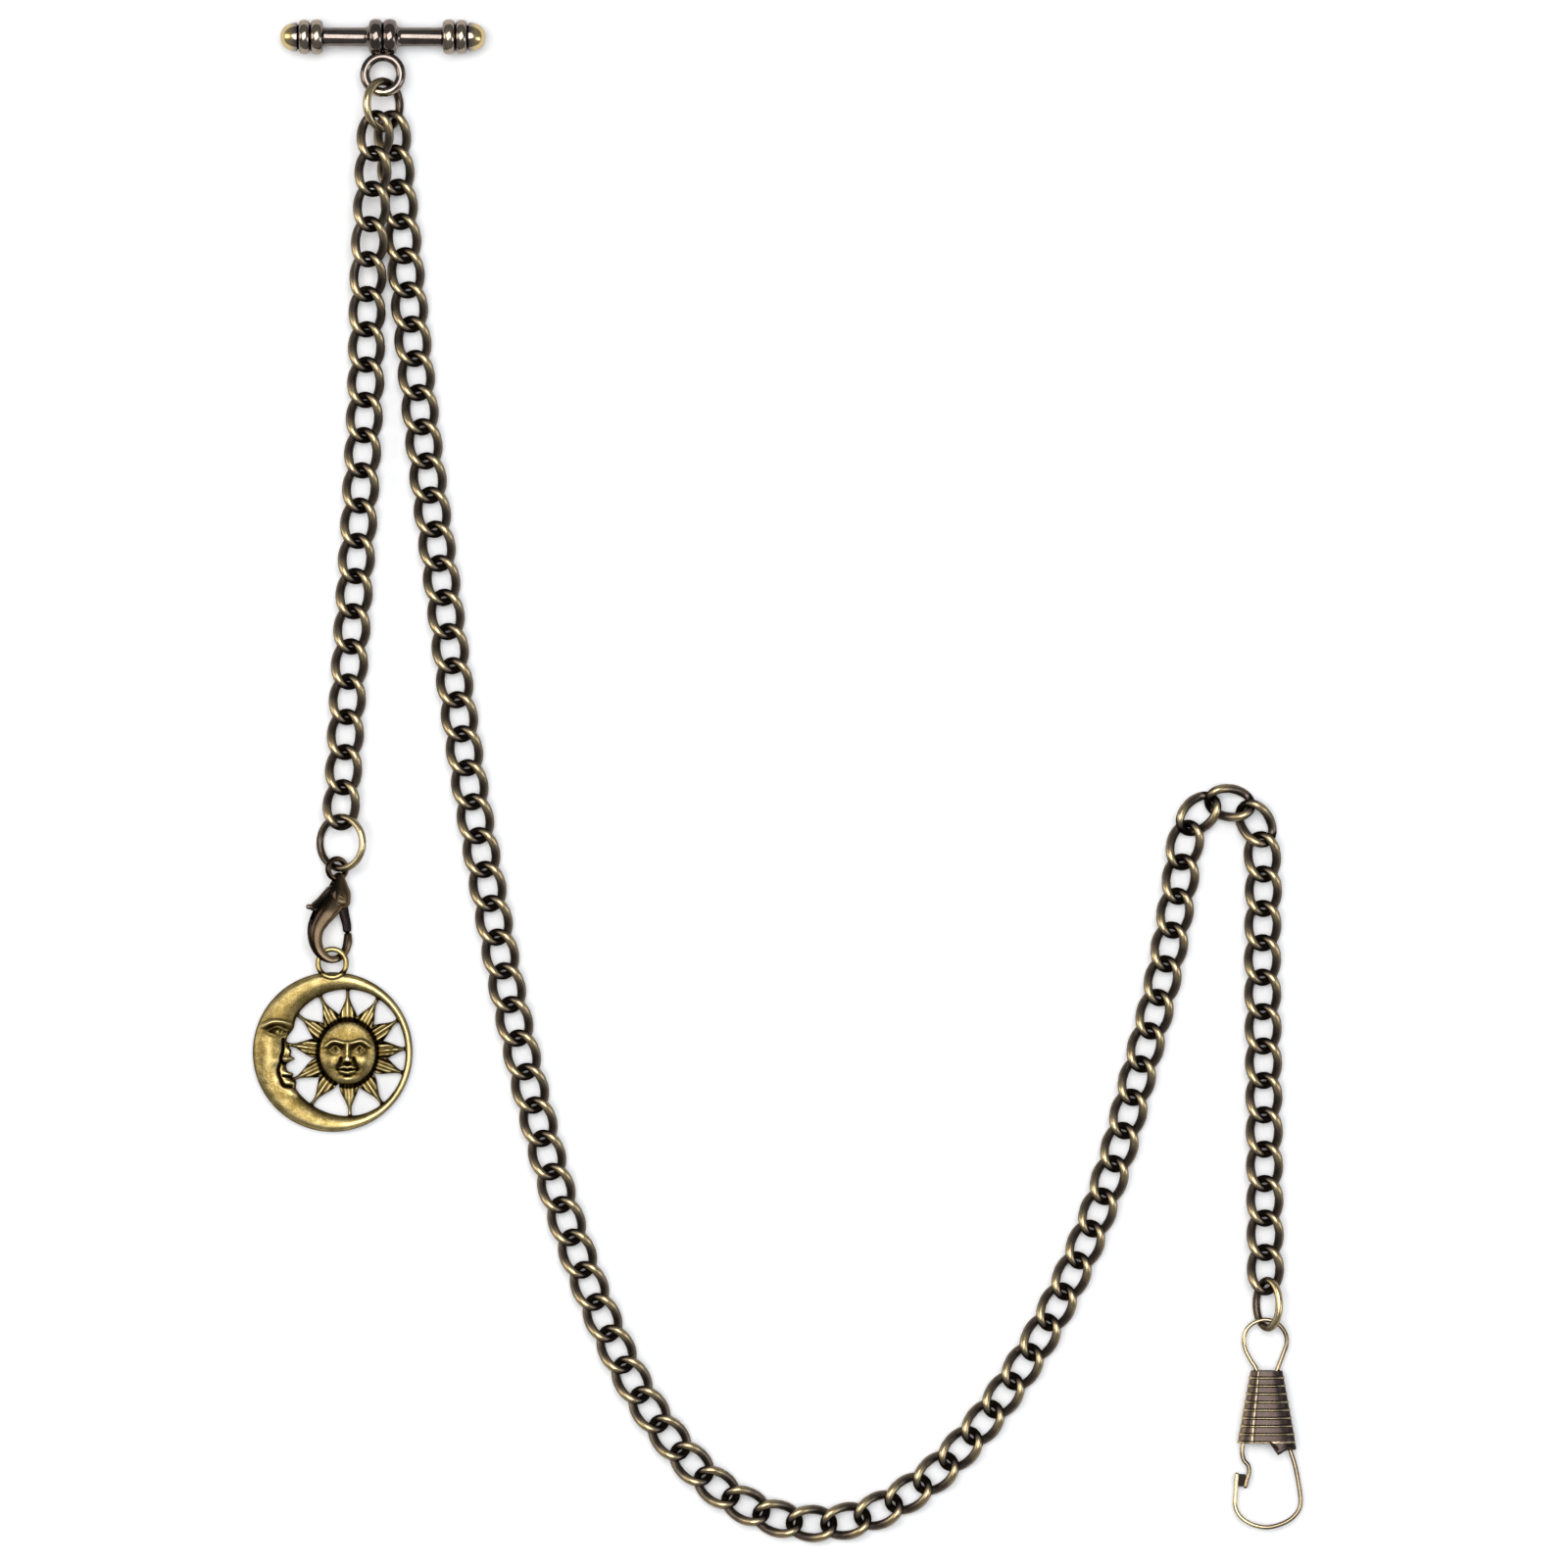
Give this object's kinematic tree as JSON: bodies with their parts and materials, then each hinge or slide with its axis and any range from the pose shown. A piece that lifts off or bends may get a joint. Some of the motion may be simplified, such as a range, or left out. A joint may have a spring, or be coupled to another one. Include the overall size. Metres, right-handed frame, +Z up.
{
  "type": "pocket watch chain",
  "caption": "Pocket watch chain with a T-bar, a curb chain ending in a ribbed watch clip, and a short curb chain with a lobster clasp and a pierced sun and moon fob.",
  "frame": {"origin": "middle of the footprint of the chain as laid out, on the surface it lies on", "axes": "+Y from the clip end towards the T-bar along the layout, +X from the short chain towards the long chain, +Z up away from the surface"},
  "size_m": [0.1434, 0.2078, 0.006],
  "materials": {
    "chain": "dark brown antique patina, worn golden on the raised strands, satin",
    "t_bar": "dark brown antique finish, glossy, worn golden on the domes and beads",
    "golden_ring": "worn golden antique finish",
    "drop_ring": "antique finish, half dark and half golden tan",
    "clasp": "smooth chocolate bronze finish",
    "lever": "dark bronze finish",
    "spring_steel": "plain spring steel",
    "fob": "cast antique brass, dark recesses and bright edges, matt and mottled",
    "clip_wire": "pale golden wire",
    "sleeve": "dark purple brown with bright golden ridges"
  },
  "bodies": {
    "t_bar": {"t_bar": "t_bar"},
    "connector_ring": {"connector_ring": "golden_ring"},
    "short_link_01": {"short_link_01": "chain"},
    "short_link_02": {"short_link_02": "chain"},
    "short_link_03": {"short_link_03": "chain"},
    "short_link_04": {"short_link_04": "chain"},
    "short_link_05": {"short_link_05": "chain"},
    "short_link_06": {"short_link_06": "chain"},
    "short_link_07": {"short_link_07": "chain"},
    "short_link_08": {"short_link_08": "chain"},
    "short_link_09": {"short_link_09": "chain"},
    "short_link_10": {"short_link_10": "chain"},
    "short_link_11": {"short_link_11": "chain"},
    "short_link_12": {"short_link_12": "chain"},
    "short_link_13": {"short_link_13": "chain"},
    "short_link_14": {"short_link_14": "chain"},
    "short_link_15": {"short_link_15": "chain"},
    "short_link_16": {"short_link_16": "chain"},
    "short_link_17": {"short_link_17": "chain"},
    "short_link_18": {"short_link_18": "chain"},
    "short_link_19": {"short_link_19": "chain"},
    "short_link_20": {"short_link_20": "chain"},
    "drop_ring": {"drop_ring": "drop_ring"},
    "clasp": {"clasp_body": "clasp", "clasp_rivet": "clasp", "clasp_spring": "spring_steel"},
    "clasp_lever": {"clasp_lever": "lever"},
    "fob": {"sun_moon_fob": "fob"},
    "long_links_01": {"long_links_01": "chain"},
    "long_links_02": {"long_links_02": "chain"},
    "long_links_03": {"long_links_03": "chain"},
    "long_links_04": {"long_links_04": "chain"},
    "long_links_05": {"long_links_05": "chain"},
    "long_links_06": {"long_links_06": "chain"},
    "long_links_07": {"long_links_07": "chain"},
    "long_links_08": {"long_links_08": "chain"},
    "long_links_09": {"long_links_09": "chain"},
    "long_links_10": {"long_links_10": "chain"},
    "long_links_11": {"long_links_11": "chain"},
    "long_links_12": {"long_links_12": "chain"},
    "long_links_13": {"long_links_13": "chain"},
    "long_links_14": {"long_links_14": "chain"},
    "long_links_15": {"long_links_15": "chain"},
    "long_links_16": {"long_links_16": "chain"},
    "long_links_17": {"long_links_17": "chain"},
    "long_links_18": {"long_links_18": "chain"},
    "long_links_19": {"long_links_19": "chain"},
    "long_links_20": {"long_links_20": "chain"},
    "long_links_21": {"long_links_21": "chain"},
    "long_links_22": {"long_links_22": "chain"},
    "long_links_23": {"long_links_23": "chain"},
    "long_links_24": {"long_links_24": "chain"},
    "long_links_25": {"long_links_25": "chain"},
    "long_links_26": {"long_links_26": "chain"},
    "long_links_27": {"long_links_27": "chain"},
    "long_links_28": {"long_links_28": "chain"},
    "end_ring": {"end_ring": "golden_ring"},
    "clip": {"clip_wire": "clip_wire", "clip_sleeve": "sleeve"},
    "clip_gate": {"clip_gate": "clip_wire"}
  },
  "joints": [
    {"name": "connector_swing", "type": "hinge", "parent": "t_bar", "child": "connector_ring", "pos_m": [-0.0538, 0.09476, 0.00292], "axis": [1, 0, 0], "range_deg": [-20, 20]},
    {"name": "short_fold_01", "type": "hinge", "parent": "connector_ring", "child": "short_link_01", "pos_m": [-0.0547, 0.09023, 0.00439], "axis": [0, 0, -1], "range_deg": [0, 45]},
    {"name": "short_fold_02", "type": "hinge", "parent": "short_link_01", "child": "short_link_02", "pos_m": [-0.05502, 0.08542, 0.00439], "axis": [-0.9987, 0.051, 0], "range_deg": [0, 35]},
    {"name": "short_fold_03", "type": "hinge", "parent": "short_link_02", "child": "short_link_03", "pos_m": [-0.05522, 0.0806, 0.00429], "axis": [-0.9987, 0.0513, 0], "range_deg": [0, 35]},
    {"name": "short_fold_04", "type": "hinge", "parent": "short_link_03", "child": "short_link_04", "pos_m": [-0.0555, 0.0758, 0.00389], "axis": [0.9983, -0.0575, 0], "range_deg": [-35, 0]},
    {"name": "short_fold_05", "type": "hinge", "parent": "short_link_04", "child": "short_link_05", "pos_m": [-0.05578, 0.07109, 0.00296], "axis": [0.9991, -0.0426, 0], "range_deg": [-35, 35]},
    {"name": "short_fold_06", "type": "hinge", "parent": "short_link_05", "child": "short_link_06", "pos_m": [-0.05598, 0.06636, 0.002], "axis": [-0.9997, 0.0253, 0], "range_deg": [-35, 35]},
    {"name": "short_fold_07", "type": "hinge", "parent": "short_link_06", "child": "short_link_07", "pos_m": [-0.05608, 0.06156, 0.0016], "axis": [-0.9998, 0.0203, 0], "range_deg": [-35, 35]},
    {"name": "short_fold_08", "type": "hinge", "parent": "short_link_07", "child": "short_link_08", "pos_m": [-0.05616, 0.05674, 0.00154], "axis": [0.9995, -0.0311, 0], "range_deg": [-35, 35]},
    {"name": "short_fold_09", "type": "hinge", "parent": "short_link_08", "child": "short_link_09", "pos_m": [-0.05632, 0.05193, 0.00151], "axis": [0.999, -0.0445, 0], "range_deg": [-35, 35]},
    {"name": "short_fold_10", "type": "hinge", "parent": "short_link_09", "child": "short_link_10", "pos_m": [-0.05654, 0.04711, 0.00151], "axis": [-0.9987, 0.0514, 0], "range_deg": [-35, 35]},
    {"name": "short_fold_11", "type": "hinge", "parent": "short_link_10", "child": "short_link_11", "pos_m": [-0.05679, 0.0423, 0.00152], "axis": [-0.9984, 0.0558, 0], "range_deg": [-35, 35]},
    {"name": "short_fold_12", "type": "hinge", "parent": "short_link_11", "child": "short_link_12", "pos_m": [-0.05706, 0.03749, 0.00152], "axis": [0.9982, -0.0605, 0], "range_deg": [-35, 35]},
    {"name": "short_fold_13", "type": "hinge", "parent": "short_link_12", "child": "short_link_13", "pos_m": [-0.05735, 0.03267, 0.00152], "axis": [0.998, -0.0635, 0], "range_deg": [-35, 35]},
    {"name": "short_fold_14", "type": "hinge", "parent": "short_link_13", "child": "short_link_14", "pos_m": [-0.05766, 0.02787, 0.00152], "axis": [-0.9979, 0.0643, 0], "range_deg": [-35, 35]},
    {"name": "short_fold_15", "type": "hinge", "parent": "short_link_14", "child": "short_link_15", "pos_m": [-0.05797, 0.02306, 0.00152], "axis": [-0.9979, 0.0651, 0], "range_deg": [-35, 35]},
    {"name": "short_fold_16", "type": "hinge", "parent": "short_link_15", "child": "short_link_16", "pos_m": [-0.05829, 0.01825, 0.00149], "axis": [0.998, -0.064, 0], "range_deg": [-35, 35]},
    {"name": "short_fold_17", "type": "hinge", "parent": "short_link_16", "child": "short_link_17", "pos_m": [-0.0586, 0.01344, 0.00149], "axis": [0.9983, -0.0579, 0], "range_deg": [-35, 35]},
    {"name": "short_fold_18", "type": "hinge", "parent": "short_link_17", "child": "short_link_18", "pos_m": [-0.05887, 0.00863, 0.00155], "axis": [-0.9986, 0.0526, 0], "range_deg": [-35, 35]},
    {"name": "short_fold_19", "type": "hinge", "parent": "short_link_18", "child": "short_link_19", "pos_m": [-0.05911, 0.00381, 0.00166], "axis": [-0.9984, 0.0571, 0], "range_deg": [-35, 35]},
    {"name": "short_fold_20", "type": "hinge", "parent": "short_link_19", "child": "short_link_20", "pos_m": [-0.0594, -0.00098, 0.00205], "axis": [0.9981, -0.0624, 0], "range_deg": [-35, 35]},
    {"name": "drop_ring_swing", "type": "hinge", "parent": "short_link_20", "child": "drop_ring", "pos_m": [-0.05955, -0.00564, 0.00232], "axis": [1, 0, 0], "range_deg": [-30, 30]},
    {"name": "clasp_swing", "type": "hinge", "parent": "drop_ring", "child": "clasp", "pos_m": [-0.05975, -0.01144, 0.00217], "axis": [0, 0, 1], "range_deg": [-20, 20]},
    {"name": "clasp_lever_press", "type": "hinge", "parent": "clasp", "child": "clasp_lever", "pos_m": [-0.06012, -0.0159, 0.00189], "axis": [0.5878, 0, 0.809], "range_deg": [-25, 0], "stiffness_Nm_per_rad": 0.002},
    {"name": "fob_swing", "type": "hinge", "parent": "clasp", "child": "fob", "pos_m": [-0.06085, -0.02384, 0.00227], "axis": [1, 0, 0], "range_deg": [-20, 18]},
    {"name": "long_fold_01", "type": "hinge", "parent": "connector_ring", "child": "long_links_01", "pos_m": [-0.05283, 0.09037, 0.00159], "axis": [-0.9952, -0.0977, 0], "range_deg": [-35, 0]},
    {"name": "long_fold_02", "type": "hinge", "parent": "long_links_01", "child": "long_links_02", "pos_m": [-0.05144, 0.07634, 0.00152], "axis": [0.9949, 0.1005, 0], "range_deg": [-35, 35]},
    {"name": "long_fold_03", "type": "hinge", "parent": "long_links_02", "child": "long_links_03", "pos_m": [-0.05005, 0.06232, 0.00152], "axis": [0.995, 0.0995, 0], "range_deg": [-35, 35]},
    {"name": "long_fold_04", "type": "hinge", "parent": "long_links_03", "child": "long_links_04", "pos_m": [-0.04857, 0.0483, 0.00152], "axis": [-0.9934, -0.1151, 0], "range_deg": [-35, 35]},
    {"name": "long_fold_05", "type": "hinge", "parent": "long_links_04", "child": "long_links_05", "pos_m": [-0.04684, 0.03431, 0.00152], "axis": [-0.9909, -0.1347, 0], "range_deg": [-35, 35]},
    {"name": "long_fold_06", "type": "hinge", "parent": "long_links_05", "child": "long_links_06", "pos_m": [-0.04501, 0.02034, 0.00152], "axis": [0.9921, 0.1257, 0], "range_deg": [-35, 35]},
    {"name": "long_fold_07", "type": "hinge", "parent": "long_links_06", "child": "long_links_07", "pos_m": [-0.04313, 0.00637, 0.00152], "axis": [0.9887, 0.15, 0], "range_deg": [-35, 35]},
    {"name": "long_fold_08", "type": "hinge", "parent": "long_links_07", "child": "long_links_08", "pos_m": [-0.04087, -0.00754, 0.00152], "axis": [-0.984, -0.1781, 0], "range_deg": [-35, 35]},
    {"name": "long_fold_09", "type": "hinge", "parent": "long_links_08", "child": "long_links_09", "pos_m": [-0.03831, -0.0214, 0.00152], "axis": [-0.9816, -0.1911, 0], "range_deg": [-35, 35]},
    {"name": "long_fold_10", "type": "hinge", "parent": "long_links_09", "child": "long_links_10", "pos_m": [-0.03545, -0.0352, 0.00152], "axis": [0.9736, 0.2281, 0], "range_deg": [-35, 35]},
    {"name": "long_fold_11", "type": "hinge", "parent": "long_links_10", "child": "long_links_11", "pos_m": [-0.0321, -0.04889, 0.00152], "axis": [0.9652, 0.2614, 0], "range_deg": [-35, 35]},
    {"name": "long_fold_12", "type": "hinge", "parent": "long_links_11", "child": "long_links_12", "pos_m": [-0.02811, -0.06241, 0.00152], "axis": [-0.9433, -0.3319, 0], "range_deg": [-35, 35]},
    {"name": "long_fold_13", "type": "hinge", "parent": "long_links_12", "child": "long_links_13", "pos_m": [-0.02301, -0.07555, 0.00152], "axis": [-0.9036, -0.4284, 0], "range_deg": [-35, 35]},
    {"name": "long_fold_14", "type": "hinge", "parent": "long_links_13", "child": "long_links_14", "pos_m": [-0.01622, -0.08788, 0.00152], "axis": [0.7869, 0.6171, 0], "range_deg": [-35, 35]},
    {"name": "long_fold_15", "type": "hinge", "parent": "long_links_14", "child": "long_links_15", "pos_m": [-0.00643, -0.09796, 0.00152], "axis": [0.4606, 0.8876, 0], "range_deg": [-35, 35]},
    {"name": "long_fold_16", "type": "hinge", "parent": "long_links_15", "child": "long_links_16", "pos_m": [0.007, -0.10165, 0.00152], "axis": [0.1879, -0.9822, 0], "range_deg": [-35, 35]},
    {"name": "long_fold_17", "type": "hinge", "parent": "long_links_16", "child": "long_links_17", "pos_m": [0.01984, -0.09621, 0.00152], "axis": [0.6528, -0.7575, 0], "range_deg": [-35, 35]},
    {"name": "long_fold_18", "type": "hinge", "parent": "long_links_17", "child": "long_links_18", "pos_m": [0.02947, -0.08596, 0.00152], "axis": [-0.8165, 0.5773, 0], "range_deg": [-35, 35]},
    {"name": "long_fold_19", "type": "hinge", "parent": "long_links_18", "child": "long_links_19", "pos_m": [0.03703, -0.07407, 0.00152], "axis": [-0.8911, 0.4537, 0], "range_deg": [-35, 35]},
    {"name": "long_fold_20", "type": "hinge", "parent": "long_links_19", "child": "long_links_20", "pos_m": [0.04291, -0.06127, 0.00152], "axis": [0.9376, -0.3477, 0], "range_deg": [-35, 35]},
    {"name": "long_fold_21", "type": "hinge", "parent": "long_links_20", "child": "long_links_21", "pos_m": [0.04731, -0.04788, 0.00152], "axis": [0.9674, -0.2532, 0], "range_deg": [-35, 35]},
    {"name": "long_fold_22", "type": "hinge", "parent": "long_links_21", "child": "long_links_22", "pos_m": [0.05091, -0.03426, 0.00152], "axis": [-0.9694, 0.2454, 0], "range_deg": [-35, 35]},
    {"name": "long_fold_23", "type": "hinge", "parent": "long_links_22", "child": "long_links_23", "pos_m": [0.05308, -0.02511, 0.00152], "axis": [-0.9834, 0.1815, 0], "range_deg": [-35, 35]},
    {"name": "long_fold_24", "type": "hinge", "parent": "long_links_23", "child": "long_links_24", "pos_m": [0.05469, -0.01586, 0.00152], "axis": [0.9897, -0.1429, 0], "range_deg": [-35, 35]},
    {"name": "long_fold_25", "type": "hinge", "parent": "long_links_24", "child": "long_links_25", "pos_m": [0.06636, -0.01279, 0.00152], "axis": [-1, -0.0056, 0], "range_deg": [-35, 35]},
    {"name": "long_fold_26", "type": "hinge", "parent": "long_links_25", "child": "long_links_26", "pos_m": [0.06627, -0.02688, 0.00152], "axis": [1, 0.0096, 0], "range_deg": [-35, 35]},
    {"name": "long_fold_27", "type": "hinge", "parent": "long_links_26", "child": "long_links_27", "pos_m": [0.06643, -0.04098, 0.00151], "axis": [0.9999, 0.01, 0], "range_deg": [-35, 35]},
    {"name": "long_fold_28", "type": "hinge", "parent": "long_links_27", "child": "long_links_28", "pos_m": [0.06656, -0.05507, 0.00161], "axis": [-1, -0.0083, 0], "range_deg": [-35, 35]},
    {"name": "end_ring_swing", "type": "hinge", "parent": "long_links_28", "child": "end_ring", "pos_m": [0.06695, -0.06899, 0.00182], "axis": [1, 0, 0], "range_deg": [-30, 30]},
    {"name": "clip_swing", "type": "hinge", "parent": "end_ring", "child": "clip", "pos_m": [0.0669, -0.07414, 0.00187], "axis": [0, 0, 1], "range_deg": [-25, 10]},
    {"name": "clip_gate_flex", "type": "hinge", "parent": "clip", "child": "clip_gate", "pos_m": [0.0643, -0.08804, 0.00157], "axis": [0, 0, 1], "range_deg": [0, 15], "stiffness_Nm_per_rad": 0.005}
  ]
}
